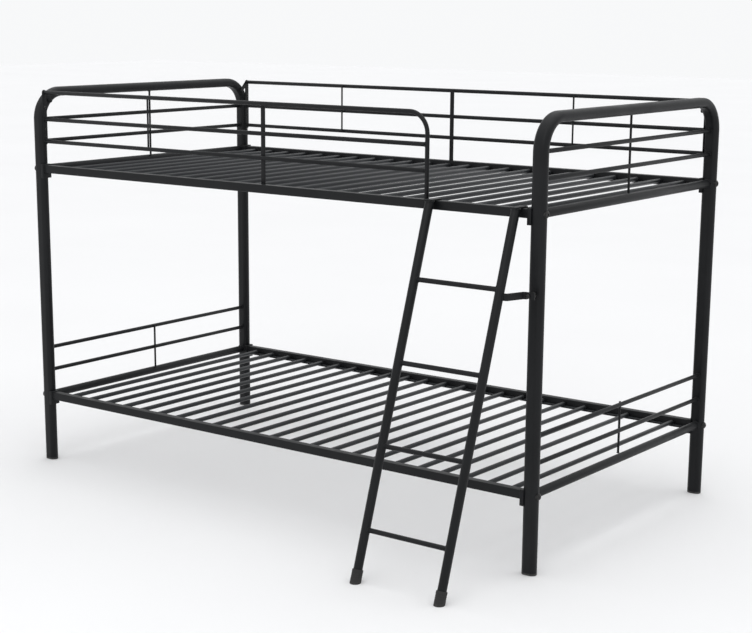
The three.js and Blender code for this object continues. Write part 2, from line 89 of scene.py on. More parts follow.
# ------------------------------------------------------------------ materials
class Nodes:
    """Small helper to write a node tree in a few lines."""

    def __init__(self, name):
        self.m = bpy.data.materials.new(name)
        self.m.use_nodes = True
        self.t = self.m.node_tree
        self.t.nodes.clear()
        self.out = self.t.nodes.new("ShaderNodeOutputMaterial")
        self.b = self.t.nodes.new("ShaderNodeBsdfPrincipled")
        self.t.links.new(self.b.outputs[0], self.out.inputs[0])
        self.co = self.t.nodes.new("ShaderNodeTexCoord").outputs["Object"]
        self.geo = self.t.nodes.new("ShaderNodeNewGeometry")

    def link(self, a, b):
        self.t.links.new(a, b)

    def noise(self, scale, detail=2.0, rough=0.5, vec=None, stretch=None):
        n = self.t.nodes.new("ShaderNodeTexNoise")
        n.inputs["Scale"].default_value = scale
        n.inputs["Detail"].default_value = detail
        n.inputs["Roughness"].default_value = rough
        src = vec or self.co
        if stretch:
            mp = self.t.nodes.new("ShaderNodeMapping")
            mp.inputs["Scale"].default_value = stretch
            self.link(src, mp.inputs["Vector"])
            src = mp.outputs[0]
        self.link(src, n.inputs["Vector"])
        return n.outputs["Fac"]

    def span(self, src, a, b, c, d, smooth=False):
        n = self.t.nodes.new("ShaderNodeMapRange")
        n.interpolation_type = "SMOOTHSTEP" if smooth else "LINEAR"
        self.link(src, n.inputs["Value"])
        for k, v in zip(("From Min", "From Max", "To Min", "To Max"), (a, b, c, d)):
            n.inputs[k].default_value = v
        return n.outputs["Result"]

    def math(self, op, a, b=None, clamp=False):
        n = self.t.nodes.new("ShaderNodeMath")
        n.operation = op
        n.use_clamp = clamp
        for i, v in enumerate((a, b)):
            if v is None:
                continue
            if isinstance(v, (int, float)):
                n.inputs[i].default_value = v
            else:
                self.link(v, n.inputs[i])
        return n.outputs[0]

    def mix(self, fac, a, b):
        n = self.t.nodes.new("ShaderNodeMix")
        n.data_type = "RGBA"
        self.link(fac, n.inputs["Factor"])
        for key, v in ((6, a), (7, b)):
            if isinstance(v, tuple):
                n.inputs[key].default_value = (*v, 1.0)
            else:
                self.link(v, n.inputs[key])
        return n.outputs[2]

    def bump(self, height, strength, distance, normal=None):
        n = self.t.nodes.new("ShaderNodeBump")
        n.inputs["Strength"].default_value = strength
        n.inputs["Distance"].default_value = distance
        self.link(height, n.inputs["Height"])
        if normal is not None:
            self.link(normal, n.inputs["Normal"])
        return n.outputs[0]

    def edges(self, radius, lo=0.03, hi=0.25):
        """1 on outside edges tighter than the radius, 0 on smooth faces."""
        bv = self.t.nodes.new("ShaderNodeBevel")
        bv.samples = 4
        bv.inputs["Radius"].default_value = radius
        dot = self.t.nodes.new("ShaderNodeVectorMath")
        dot.operation = "DOT_PRODUCT"
        self.link(bv.outputs[0], dot.inputs[0])
        self.link(self.geo.outputs["Normal"], dot.inputs[1])
        return self.span(self.math("SUBTRACT", 1.0, dot.outputs["Value"]), lo, hi, 0.0, 1.0, True)

    def up(self, a=0.35, b=0.95):
        """1 where the surface faces up."""
        s = self.t.nodes.new("ShaderNodeSeparateXYZ")
        self.link(self.geo.outputs["Normal"], s.inputs[0])
        return self.span(s.outputs["Z"], a, b, 0.0, 1.0, True)


def powder_coat(name, dark, light, top_light, rough=0.43, peel=1.0, spec=0.5, wear=0.55):
    """Satin powder coat: orange peel, soft colour drift, painted top light (upward faces tinted lighter), thinned
    edges.
    """
    n = Nodes(name)
    drift = n.noise(7.0, 3.0, 0.55)
    fine = n.noise(95.0, 3.0, 0.6)
    base = n.mix(n.span(drift, 0.35, 0.65, 0.0, 1.0), dark, light)
    patch = n.noise(21.0, 4.0, 0.62)
    # Painted top light: faces that point up are mixed towards a lighter grey so that tops read as lit; the same mask
    # also raises roughness below.
    painted_top_light = n.math("MULTIPLY", n.up(), n.span(patch, 0.42, 0.72, 0.10, 0.55, True))
    base = n.mix(painted_top_light, base, top_light)
    edge = n.edges(0.0011)
    chips = n.math("MULTIPLY", edge, n.span(n.noise(130.0, 4.0, 0.7), 0.42, 0.62, 0.05, wear, True))
    base = n.mix(chips, base, (0.058, 0.060, 0.063))
    n.link(base, n.b.inputs["Base Color"])
    r = n.span(drift, 0.3, 0.7, rough - 0.05, rough + 0.06)
    r = n.math("ADD", r, n.span(fine, 0.3, 0.7, -0.03, 0.03))
    r = n.math("ADD", r, n.math("MULTIPLY", painted_top_light, 0.22))
    r = n.math("SUBTRACT", r, n.math("MULTIPLY", chips, 0.16), clamp=True)
    n.link(r, n.b.inputs["Roughness"])
    n.b.inputs["Metallic"].default_value = 0.0
    n.b.inputs["IOR"].default_value = 1.5
    n.b.inputs["Specular IOR Level"].default_value = spec
    cells = n.noise(620.0, 2.0, 0.45)
    grain = n.noise(2600.0, 2.0, 0.6)
    h = n.math("ADD", n.math("MULTIPLY", cells, 0.75), n.math("MULTIPLY", grain, 0.25))
    n.link(n.bump(h, 0.42 * peel, 0.00022), n.b.inputs["Normal"])
    return n.m


def black_oxide(name):
    """Blackened bolt steel with turning marks and bright rubbed edges."""
    n = Nodes(name)
    cloud = n.noise(160.0, 4.0, 0.6)
    base = n.mix(n.span(cloud, 0.35, 0.68, 0.0, 1.0), (0.020, 0.020, 0.021), (0.046, 0.045, 0.044))
    rub = n.math("MULTIPLY", n.edges(0.0007), n.span(n.noise(420.0, 3.0, 0.6), 0.40, 0.60, 0.15, 0.85, True))
    base = n.mix(rub, base, (0.21, 0.205, 0.20))
    n.link(base, n.b.inputs["Base Color"])
    n.b.inputs["Metallic"].default_value = 0.75
    r = n.span(cloud, 0.3, 0.7, 0.32, 0.50)
    r = n.math("SUBTRACT", r, n.math("MULTIPLY", rub, 0.10), clamp=True)
    n.link(r, n.b.inputs["Roughness"])
    marks = n.noise(900.0, 2.0, 0.5, stretch=(0.15, 1.0, 1.0))
    n.link(n.bump(marks, 0.30, 0.00012), n.b.inputs["Normal"])
    return n.m


def moulded(name, dark, light, rough, grain, depth):
    """Moulded plastic or rubber: leathered grain, scuffs near the floor."""
    n = Nodes(name)
    cloud = n.noise(48.0, 4.0, 0.6)
    base = n.mix(n.span(cloud, 0.35, 0.68, 0.0, 1.0), dark, light)
    sep = n.t.nodes.new("ShaderNodeSeparateXYZ")
    n.link(n.co, sep.inputs[0])
    low = n.span(sep.outputs["Z"], 0.0, 0.012, 1.0, 0.0, True)
    scuff = n.math("MULTIPLY", low, n.span(n.noise(240.0, 4.0, 0.7), 0.44, 0.64, 0.0, 0.75, True))
    base = n.mix(scuff, base, (0.075, 0.073, 0.070))
    n.link(base, n.b.inputs["Base Color"])
    r = n.span(cloud, 0.3, 0.7, rough - 0.06, rough + 0.07)
    n.link(n.math("ADD", r, n.math("MULTIPLY", scuff, 0.12), clamp=True), n.b.inputs["Roughness"])
    n.b.inputs["IOR"].default_value = 1.49
    v = n.t.nodes.new("ShaderNodeTexVoronoi")
    v.inputs["Scale"].default_value = grain
    n.link(n.co, v.inputs["Vector"])
    h = n.math("ADD", n.math("MULTIPLY", v.outputs["Distance"], 0.6), n.math("MULTIPLY", n.noise(grain * 2.2), 0.4))
    n.link(n.bump(h, 0.45, depth), n.b.inputs["Normal"])
    return n.m


# The third colour in each call is the lighter grey of the painted top light on upward faces.
COAT = powder_coat("coat_satin_black", (0.0045, 0.0050, 0.0058), (0.0076, 0.0083, 0.0094), (0.028, 0.029, 0.030), spec=0.20)
WELD = powder_coat("coat_over_weld", (0.0048, 0.0053, 0.0061), (0.0082, 0.0089, 0.0100), (0.028, 0.029, 0.030), rough=0.40, peel=0.8, spec=0.22)
# Slats: the frame's black powder coat painted about twice as light, a painted sheen standing in for the light the round
# slats catch.
SLAT = powder_coat("coat_black_painted_sheen", (0.0110, 0.0126, 0.0146), (0.0170, 0.0190, 0.0216), (0.050, 0.052, 0.055), rough=0.40, spec=0.30)
OXIDE = black_oxide("black_oxide_steel")
GLIDE = moulded("moulded_black_polyethylene", (0.0105, 0.0105, 0.0110), (0.0190, 0.0190, 0.0195), 0.50, 900.0, 0.00018)
RUBBER = moulded("matt_black_rubber", (0.0085, 0.0083, 0.0082), (0.0165, 0.0160, 0.0158), 0.74, 640.0, 0.00028)


# ------------------------------------------------------------------ mesh building
class Shell:
    """Gathers closed shells, in millimetres in the bed's frame."""

    def __init__(self):
        self.v = []
        self.f = []
        self.n = 0

    def put(self, verts, faces):
        self.v.append(np.asarray(verts, float))
        self.f += [[i + self.n for i in f] for f in faces]
        self.n += len(verts)
        return self

    def add(self, made):
        return self.put(*made)


def make(name, shell, body, mat, nodes=(), sharp=32.0):
    """Turns a Shell into a piece that rides on a body and stands for its CAD nodes."""
    co = np.concatenate(shell.v).copy()
    co[:, 1] += YC
    me = bpy.data.meshes.new(name)
    me.from_pydata((co / 1000.0).tolist(), [], shell.f)
    bm = bmesh.new()
    bm.from_mesh(me)
    bmesh.ops.remove_doubles(bm, verts=bm.verts, dist=1e-7)
    bmesh.ops.recalc_face_normals(bm, faces=bm.faces)
    limit = math.radians(sharp)
    for f in bm.faces:
        f.smooth = True
    for e in bm.edges:
        e.smooth = e.calc_face_angle(0.0) < limit
    bm.to_mesh(me)
    bm.free()
    me.materials.append(mat)
    o = bpy.data.objects.new(name, me)
    bpy.context.scene.collection.objects.link(o)
    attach(o, body)
    if nodes:
        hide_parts(*nodes)
    return o


def loft(rings):
    """A closed shell through rings of equal count, capped at both ends."""
    k = len(rings[0])
    verts = np.concatenate([np.asarray(r, float) for r in rings])
    faces = []
    for a in range(len(rings) - 1):
        p, q = a * k, (a + 1) * k
        for i in range(k):
            j = (i + 1) % k
            faces.append([p + i, p + j, q + j, q + i])
    faces.append(list(range(k))[::-1])
    last = (len(rings) - 1) * k
    faces.append(list(range(last, last + k)))
    return verts, faces


def circle(r, sides=32):
    a = (np.arange(sides) + 0.5) / sides * 2 * math.pi

    def at(grow=0.0):
        return np.stack([(r + grow) * np.cos(a), (r + grow) * np.sin(a)], 1)

    return at


def oval(long, short, steps=18):
    """Flat oval, long way along u."""
    c = (long - short) / 2

    def at(grow=0.0):
        r = short / 2 + grow
        a = np.linspace(-math.pi / 2, math.pi / 2, steps + 1)
        right = np.stack([c + r * np.cos(a), r * np.sin(a)], 1)
        left = np.stack([-c - r * np.cos(a), -r * np.sin(a)], 1)
        # A few points on the flats keep the long faces evenly cut.
        top = np.stack([np.linspace(c, -c, 5)[1:-1], np.full(3, r)], 1)
        low = np.stack([np.linspace(-c, c, 5)[1:-1], np.full(3, -r)], 1)
        return np.concatenate([right, top, left, low])

    return at


def rounded(w, h, r, steps=4):
    """Rectangle w along u and h along v with rounded corners."""

    def at(grow=0.0):
        a, b, q = w / 2 + grow, h / 2 + grow, max(r + grow, 0.02)
        pts = []
        for cx, cy, s in ((a - q, b - q, 0), (-a + q, b - q, 1), (-a + q, -b + q, 2), (a - q, -b + q, 3)):
            for t in np.linspace(0, math.pi / 2, steps + 1):
                w_ = s * math.pi / 2 + t
                pts.append((cx + q * math.cos(w_), cy + q * math.sin(w_)))
        return np.array(pts)

    return at


def place(pts, p, n, b):
    return p + pts[:, :1] * n + pts[:, 1:] * b


def run(stations, shape, edge=0.4, bore=None, recess=14.0):
    """Sweeps a section along (point, n, b) stations; t = n x b. The ends are softened,
    and are open for a short way if a bore outline is given."""
    rings = []

    def end(st, into):
        p, n, b = st
        t = np.cross(n, b) * into  # points into the piece
        out = []
        if bore is not None:
            out.append(place(bore(0.0), p + t * recess, n, b))
            out.append(place(bore(0.0), p + t * edge * 0.6, n, b))
            out.append(place(bore(edge * 0.5), p, n, b))
        out.append(place(shape(-edge), p, n, b))
        out.append(place(shape(-edge * 0.3), p + t * edge * 0.3, n, b))
        out.append(place(shape(0.0), p + t * edge, n, b))
        return out

    rings += end(stations[0], 1.0)
    rings += [place(shape(0.0), *s) for s in stations[1:-1]]
    rings += end(stations[-1], -1.0)[::-1]
    return loft(rings)


def line(a, b, side):
    """Two stations from a to b; side is the section's first axis, as near as may be."""
    a, b = np.asarray(a, float), np.asarray(b, float)
    t = unit(b - a)
    n = unit(np.asarray(side, float) - np.dot(side, t) * t)
    return [(a, n, np.cross(t, n)), (b, n, np.cross(t, n))]


def arc(c, r, a, b, side, steps=26):
    """Stations round a quarter circle from direction a to direction b."""
    out = []
    for i in range(steps + 1):
        w = i / steps * math.pi / 2
        p = np.asarray(c, float) + r * (math.cos(w) * a + math.sin(w) * b)
        t = -math.sin(w) * a + math.cos(w) * b
        out.append((p, side, np.cross(t, side)))
    return out


def routed(points, radii, side, steps=10):
    """Stations along a planar polyline whose corners are rounded; side is the plane's normal."""
    pts = [np.asarray(p, float) for p in points]
    out = []

    def st(p, t):
        out.append((p, side, np.cross(t, side)))

    st(pts[0], unit(pts[1] - pts[0]))
    for i in range(1, len(pts) - 1):
        d0, d1 = unit(pts[i] - pts[i - 1]), unit(pts[i + 1] - pts[i])
        turn = math.acos(max(-1.0, min(1.0, float(np.dot(d0, d1)))))
        cut = radii[i - 1] * math.tan(turn / 2)
        bis = unit(d1 - d0)
        c = pts[i] + bis * (radii[i - 1] / math.cos(turn / 2))
        start = pts[i] - d0 * cut - c
        other = d0
        for k in range(steps + 1):
            w = turn * k / steps
            p = c + start * math.cos(w) + other * radii[i - 1] * math.sin(w)
            t = -unit(start) * math.sin(w) + other * math.cos(w)
            st(p, unit(t))
    st(pts[-1], unit(pts[-1] - pts[-2]))
    return out


def from_bm(bm):
    bm.verts.ensure_lookup_table()
    bm.verts.index_update()
    verts = [tuple(v.co) for v in bm.verts]
    faces = [[v.index for v in f.verts] for f in bm.faces]
    bm.free()
    return np.array(verts), faces


def prism(points, a, b, to3, bevel=0.6, segments=3):
    """A flat outline extruded from a to b with rounded edges; to3 maps (u, v, w) to xyz."""
    bm = bmesh.new()
    low = [bm.verts.new((u, v, a)) for u, v in points]
    face = bm.faces.new(low)
    ext = bmesh.ops.extrude_face_region(bm, geom=[face])
    bmesh.ops.translate(bm, verts=[g for g in ext["geom"] if isinstance(g, bmesh.types.BMVert)], vec=(0, 0, b - a))
    bmesh.ops.recalc_face_normals(bm, faces=bm.faces)
    edges = [e for e in bm.edges if e.calc_face_angle(0.0) > math.radians(25)]
    if bevel:
        bmesh.ops.bevel(bm, geom=edges, offset=bevel, segments=segments, profile=0.5, affect="EDGES", clamp_overlap=True)
    for v in bm.verts:
        v.co = Vector(to3(*v.co))
    return from_bm(bm)


def plate(lo, hi, bevel=0.8, turn=None):
    """A flat bar with rounded edges, turned by a matrix about its middle."""
    lo, hi = np.asarray(lo, float), np.asarray(hi, float)
    m, s = (lo + hi) / 2, (hi - lo) / 2
    pts = [(-s[0], -s[1]), (s[0], -s[1]), (s[0], s[1]), (-s[0], s[1])]
    v, f = prism(pts, -s[2], s[2], lambda a, b, c: (a, b, c), bevel)
    if turn is not None:
        v = v @ np.array(turn.to_3x3()).T
    return v + m, f


def capsule(x0, x1, a, b, r, bevel=0.8, steps=10):
    """A flat strap with half-round ends, from a to b in the YZ plane."""
    a, b = np.asarray(a, float), np.asarray(b, float)
    t = unit(b - a)
    n = np.array([-t[1], t[0]])
    pts = []
    for c, s in ((b, 1), (a, -1)):
        for i in range(steps + 1):
            w = math.pi * (i / steps - 0.5)
            p = c + s * r * (math.cos(w) * t + math.sin(w) * n)
            pts.append((p[0], p[1]))
    return prism(pts, x0, x1, lambda u, v, w: (w, u, v), bevel)


def lathe(profile, centre, axis, side, sides=48):
    """Turns (radius, height) round an axis through the centre."""
    axis, n = unit(axis), unit(side)
    b = np.cross(axis, n)
    a = (np.arange(sides) + 0.5) / sides * 2 * math.pi
    ring = np.stack([np.cos(a), np.sin(a)], 1)
    rings = [place(ring * r, np.asarray(centre, float) + axis * h, n, b) for r, h in profile]
    return loft(rings)


def soft_profile(points, cut=0.5):
    """Rounds the inner corners of a lathe profile."""
    out = [points[0]]
    for i in range(1, len(points) - 1):
        p, a, b = (np.array(points[k], float) for k in (i, i - 1, i + 1))
        la, lb = np.linalg.norm(a - p), np.linalg.norm(b - p)
        c = min(cut, la * 0.45, lb * 0.45)
        q0, q1 = p + (a - p) / la * c, p + (b - p) / lb * c
        out += [tuple(q0), tuple((q0 + q1) / 4 + p / 2), tuple(q1)]
    out.append(points[-1])
    return out


# ------------------------------------------------------------------ weld beads
SEED = np.random.RandomState(20737)


def bead(path, radii, closed):
    """A rippled bead round a path of points; one closed shell."""
    pts = np.asarray(path, float)
    k = len(pts)
    if closed:
        tan = np.roll(pts, -1, 0) - np.roll(pts, 1, 0)
    else:
        tan = np.gradient(pts, axis=0)
    tan /= np.linalg.norm(tan, axis=1)[:, None]
    ref = X3 if abs(tan[:, 0]).max() < 0.9 else (Y3 if abs(tan[:, 1]).max() < 0.9 else Z3)
    if closed:
        ref = unit(pts.mean(0) - pts[0])
    rings = []
    for i in range(k):
        t = tan[i]
        r0 = pts.mean(0) - pts[i] if closed else ref
        n = unit(r0 - np.dot(r0, t) * t)
        b = np.cross(t, n)
        a = np.arange(8) / 8 * 2 * math.pi
        rings.append(pts[i] + radii[i] * (np.cos(a)[:, None] * n + np.sin(a)[:, None] * b))
    if not closed:
        return loft(rings)
    verts = np.concatenate(rings)
    faces = []
    for i in range(k):
        p, q = i * 8, (i + 1) % k * 8
        for j in range(8):
            m = (j + 1) % 8
            faces.append([p + j, p + m, q + m, q + j])
    return verts, faces


def ripple(n, length, size):
    """Radii of a bead n stations long: a row of overlapping pools."""
    pools = max(3, round(length / (size * 1.25)))
    s = np.arange(n) / n
    wave = np.abs(np.sin(math.pi * pools * s + SEED.rand()))
    drift = 0.06 * np.sin(2 * math.pi * (s * 2 + SEED.rand()))
    return size * (0.90 + 0.16 * wave + drift)


def weld_ring(centre, axis, side, r, size, reach=None, n=72):
    """A bead round a tube's end at centre. axis points to the other part, and
    reach(u, v) is how far the other surface stands off at that place."""
    axis, u = unit(axis), unit(side)
    v = np.cross(axis, u)
    pts = []
    for i in range(n):
        w = i / n * 2 * math.pi
        a, b = r * math.cos(w), r * math.sin(w)
        s = reach(a, b) if reach else 0.0
        pts.append(np.asarray(centre, float) + a * u + b * v + axis * (s - size * 0.25))
    return bead(pts, ripple(n, 2 * math.pi * r, size), True)


def weld_line(a, b, size, n=None):
    a, b = np.asarray(a, float), np.asarray(b, float)
    length = float(np.linalg.norm(b - a))
    n = n or max(9, int(length / size * 3))
    s = np.linspace(0, 1, n)
    rad = ripple(n, length, size) * np.sqrt(np.clip(1 - np.abs(2 * s - 1) ** 5, 0.03, 1))
    return bead(a + (b - a) * s[:, None], rad, False)


def post_reach(u, _v):
    """Drop of the post's side away from the middle of its flat."""
    d = max(abs(u) - 7.5, 0.0)
    return 15.0 - math.sqrt(max(225.0 - d * d, 0.0))


def round_reach(r):
    def at(u, _v):
        return r - math.sqrt(max(r * r - min(u * u, r * r), 0.0))

    return at


# ------------------------------------------------------------------ end frames
POST = oval(45.0, 30.0)
CROSS = circle(12.7, 40)
BAR = circle(6.35, 32)
IN = HY - 15.3


def end_tube():
    up, down, rear, front = Z3, -Z3, Y3, -Y3
    st = [(np.array([0, -HY, POST_FOOT]), X3, np.cross(up, X3))]
    st += arc((0, -HY + BEND_R, TOP - BEND_R), BEND_R, front, up, X3, 30)
    st += arc((0, HY - BEND_R, TOP - BEND_R), BEND_R, up, rear, X3, 30)
    st += [(np.array([0, HY, POST_FOOT]), X3, np.cross(down, X3))]
    return run(st, POST, edge=0.6)


def glide_rings(x, y):
    rings = []
    for z, g in ((0.0, -1.5), (0.25, -0.8), (0.8, -0.2), (1.6, 0.0), (4.6, 0.0), (5.4, -0.15), (5.85, -0.5), (6.0, -1.1), (6.0, -1.5), (26.0, -1.7), (28.2, -2.4), (29.0, -3.6)):
        q = POST(g)
        rings.append(np.stack([q[:, 0] + x, q[:, 1] + y, np.full(len(q), z)], 1))
    return loft(rings)


def shifted(made, x=0.0, y=0.0, z=0.0):
    v, f = made
    return v + np.array([x, y, z]), f


for side, s in (("left", -1), ("right", 1)):
    x = s * HX
    make(f"{side}_end_arch", Shell().add(shifted(end_tube(), x)), BED, COAT, [f"{side}_end_frame_tube"])
    for node, z, shape, half in (
        ("upper_cross_rail", UPPER, CROSS, IN),
        ("lower_cross_rail", LOWER, CROSS, IN),
        ("guard_bar_high", GUARD_MID, BAR, IN - 3.2),
        ("guard_bar_low", GUARD_LOW, BAR, IN),
        ("footboard_bar_high", FOOT_HIGH, BAR, IN),
        ("footboard_bar_low", FOOT_LOW, BAR, IN),
    ):
        make(
            f"{side}_{node}_tube",
            Shell().add(run(line((x, -half, z), (x, half, z), X3), shape)),
            BED,
            COAT,
            [f"{side}_{node}"],
        )
    rx = x - s * (6.35 + 3.5 + 0.35)
    rod = circle(3.5, 24)
    make(
        f"{side}_guard_upright_rod",
        Shell().add(run(line((rx, 0, UPPER + 11.9), (rx, 0, TOP - 15.3), X3), rod)),
        BED,
        COAT,
        [f"{side}_guard_upright"],
    )
    make(
        f"{side}_footboard_upright_rod",
        Shell().add(run(line((rx, 0, LOWER + 11.9), (rx, 0, FOOT_HIGH + 5), X3), rod, edge=0.9)),
        BED,
        COAT,
        [f"{side}_footboard_upright"],
    )
    welds = Shell()
    for z, r, size, half in (
        (UPPER, 12.7, 2.3, IN + 0.3),
        (LOWER, 12.7, 2.3, IN + 0.3),
        (GUARD_MID, 6.35, 1.7, IN + 0.3),
        (GUARD_LOW, 6.35, 1.7, IN + 0.3),
        (FOOT_HIGH, 6.35, 1.7, IN + 0.3),
        (FOOT_LOW, 6.35, 1.7, IN + 0.3),
    ):
        for d in (-1, 1):
            welds.add(weld_ring((x, d * half, z), (0, d, 0), X3, r, size, post_reach, 88 if r > 10 else 60))
    for z in (GUARD_MID, GUARD_LOW, FOOT_HIGH, FOOT_LOW):
        for d in (-1, 1):
            xw = x - s * 6.9
            welds.add(weld_line((xw, d * 2.6, z - 3.4), (xw, d * 2.6, z + 3.4), 1.15))
    for z in (UPPER, LOWER):
        welds.add(weld_ring((rx, 0, z + 12.2), (0, 0, -1), X3, 3.5, 1.2, lambda u, v: 0.4, 36))
    welds.add(weld_ring((rx, 0, TOP - 15.6), (0, 0, 1), X3, 3.5, 1.2, lambda u, v: 0.2, 36))
    make(f"{side}_end_welds", welds, BED, WELD)
    for where, y in (("front", -HY), ("rear", HY)):
        make(f"{side}_{where}_glide_moulding", Shell().add(glide_rings(x, y)), BED, GLIDE, [f"{side}_{where}_foot_glide"])


# ------------------------------------------------------------------ side rails
def rail_outline():
    """Square tube with a ledge on the +v side, as one outline."""
    h, r = 12.7, 2.6
    pts = []

    def corner(cx, cy, q, a0, a1, k=6):
        for t in np.linspace(math.radians(a0), math.radians(a1), k + 1):
            pts.append((cx + q * math.cos(t), cy + q * math.sin(t)))

    corner(h + 18 - 0.9, -h + 0.9, 0.9, -90, 0, 4)
    corner(h + 18 - 0.9, -h + 2 - 0.9, 0.9, 0, 90, 4)
    corner(h + 1.4, -h + 3.4, 1.4, 270, 180, 5)
    corner(h - r, h - r, r, 0, 90)
    corner(-h + r, h - r, r, 90, 180)
    corner(-h + r, -h + r, r, 180, 270)
    return np.array(pts)


def side_rail(sy, z):
    prof = rail_outline()
    if sy > 0:
        prof = prof * [-1, 1]
        prof = prof[::-1]
    end = HX - 22.8
    tube_end = end - 3.5
    rings = [np.stack([np.full(len(prof), x), prof[:, 0] + sy * HY, prof[:, 1] + z], 1) for x in (-tube_end, tube_end)]
    shell = Shell().add(loft(rings))
    r = 15.3
    for s in (-1, 1):
        c = HX - 7.5
        a, b = end - 4.5, end + 8.0
        half = 17.5
        open_ = math.sqrt(r * r - (c - b) ** 2)
        a0 = math.atan2(-open_, b - c)
        arc_pts = [(c + r * math.cos(t), r * math.sin(t)) for t in np.linspace(a0, -2 * math.pi - a0, 25)]
        outline = [(a, -half), (b, -half), *arc_pts, (b, half), (a, half)]
        shell.add(
            prism(
                outline,
                z - 30.0,
                z + 16.0,
                lambda u, v, w, s=s: (s * u, v + sy * HY, w),
                0.7,
                3,
            )
        )
    return shell


def bolt(s, sy, z):
    """Button head screw with a hexagon socket on a saddle washer, at the end of the bed."""
    n = 48
    a = (np.arange(n) + 0.5) / n * 2 * math.pi
    ring = np.stack([np.cos(a), np.sin(a)], 1)
    hexr = 2.9 / np.maximum.reduce([np.abs(np.cos(a - k * math.pi / 3)) for k in range(3)])
    hexagon = ring * hexr[:, None]
    y0 = sy * HY

    def at(pts, x):
        return np.stack([np.full(n, s * x), pts[:, 0] + y0, pts[:, 1] + z], 1)

    face = HX + 22.5 + 1.5  # top of the washer
    rings = [at(ring * 3.2, HX + 22.8 - 70.0), at(ring * 4.0, HX + 22.8 - 68.6), at(ring * 4.0, face)]
    for r, h in ((8.2, 0.0), (8.75, 0.12), (9.0, 0.5), (8.9, 1.1), (8.3, 2.1), (7.2, 3.05), (5.9, 3.7), (4.8, 3.97), (4.2, 4.0)):
        rings.append(at(ring * r, face + h))
    rings.append(at(hexagon * 1.16, face + 4.0))
    rings.append(at(hexagon * 1.02, face + 3.7))
    rings.append(at(hexagon, face + 3.3))
    rings.append(at(hexagon, face + 1.5))
    rings.append(at(hexagon * 0.35, face + 0.9))
    shell = Shell().add(loft(rings))
    # Washer: flat outside, hollowed to the post's round side.
    rings = []
    c = HX + 7.5
    for r, flat in ((4.3, False), (7.5, False), (9.6, False), (10.2, False), (10.5, None), (10.3, True), (9.9, True), (4.3, True)):
        p = ring * r
        inner = c + np.sqrt(np.maximum(15.05**2 - p[:, 0] ** 2, 0.0))
        if flat is True:
            x = np.full(n, face - (0.0 if r < 10 else 0.25))
        elif flat is None:
            x = (inner + face) / 2 + 0.3
        else:
            x = inner + (0.3 if r > 10 else 0.0)
        rings.append(np.stack([s * x, p[:, 0] + y0, p[:, 1] + z], 1))
    k = len(rings)
    verts = np.concatenate(rings)
    faces = [[i * n + j, i * n + (j + 1) % n, (i + 1) % k * n + (j + 1) % n, (i + 1) % k * n + j] for i in range(k) for j in range(n)]
    shell.put(verts, faces)
    return shell


for deck, z in (("upper", UPPER), ("lower", LOWER)):
    for where, sy in (("front", -1), ("rear", 1)):
        make(f"{deck}_{where}_side_rail", side_rail(sy, z), BED, COAT, [f"{deck}_{where}_rail"])
        welds = Shell()
        for s in (-1, 1):
            xe = s * (HX - 22.8 - 4.7)
            y = sy * HY
            for dy in (-1, 1):
                yy = y + dy * 12.9
                if dy == -sy:
                    welds.add(weld_line((xe, yy, z - 9.5), (xe, yy, z + 11.0), 1.7))
                else:
                    welds.add(weld_line((xe, yy, z - 11.0), (xe, yy, z + 11.0), 1.7))
            welds.add(weld_line((xe, y - 11.0, z + 12.9), (xe, y + 11.0, z + 12.9), 1.7))
            welds.add(weld_line((xe, y - 11.0, z - 12.9), (xe, y + 11.0, z - 12.9), 1.7))
            for side, t in (("left", -1), ("right", 1)):
                if t == s:
                    make(f"{deck}_{where}_{side}_screw", bolt(s, sy, z), BED, OXIDE, [f"{deck}_{where}_{side}_bolt"], 28)
        make(f"{deck}_{where}_rail_welds", welds, BED, WELD)


# ------------------------------------------------------------------ slat panels
PITCH = 2 * HX / 24
for deck, zr in (("upper", UPPER), ("lower", LOWER)):
    for side, first, last, x0, x1 in (("left", 1, 11, -925.0, -PITCH / 2 - 0.15), ("right", 12, 23, -PITCH / 2 + 0.15, 925.0)):
        shell = Shell()
        welds = Shell()
        z = zr - 1.2
        for sy in (-1, 1):
            ya, yb = sorted((sy * 490.5, sy * 475.5))
            shell.add(plate((x0, ya, zr - 10.4), (x1, yb, zr - 7.4), 0.7))
        for k in range(first, last + 1):
            x = (k - 12) * PITCH
            shell.add(run(line((x, -482.5, z), (x, 482.5, z), X3), circle(7.0, 28), 0.35, circle(6.0, 28), 11.0))
            for sy in (-1, 1):
                for d in (-1, 1):
                    welds.add(weld_line((x + d * 4.6, sy * 476.4, zr - 6.9), (x + d * 4.6, sy * 481.7, zr - 6.9), 1.35, 11))
        make(f"{deck}_{side}_slats", shell, BED, SLAT, [f"{deck}_{side}_slat_panel"])
        make(f"{deck}_{side}_slat_welds", welds, BED, WELD)


# ------------------------------------------------------------------ long guards
STRAP_X = HX - 22.8
BEND2 = 60.0
END_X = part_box("front_guard_top_rail")[1].x * 1000 - 6.35


def strap(s, sy):
    """Flat end strap with the lug that runs up to the bend of the end arch."""
    x0, x1 = sorted((s * STRAP_X, s * (STRAP_X - 3.0)))
    shell = Shell().add(capsule(x0, x1, (sy * HY, GUARD_LOW - 12 + 9), (sy * HY, TOP + 8 - 9), 9))
    reach = BEND_R * (math.sqrt(2) - 1)
    m = reach / 2 / math.sqrt(2)
    half = (reach + 2) / 2 / math.sqrt(2)
    y, z = sy * (HY - m), TOP - m
    shell.add(capsule(x0 + 0.02, x1 - 0.02, (y - sy * half, z - half), (y + sy * half, z + half), 7.5))
    return shell


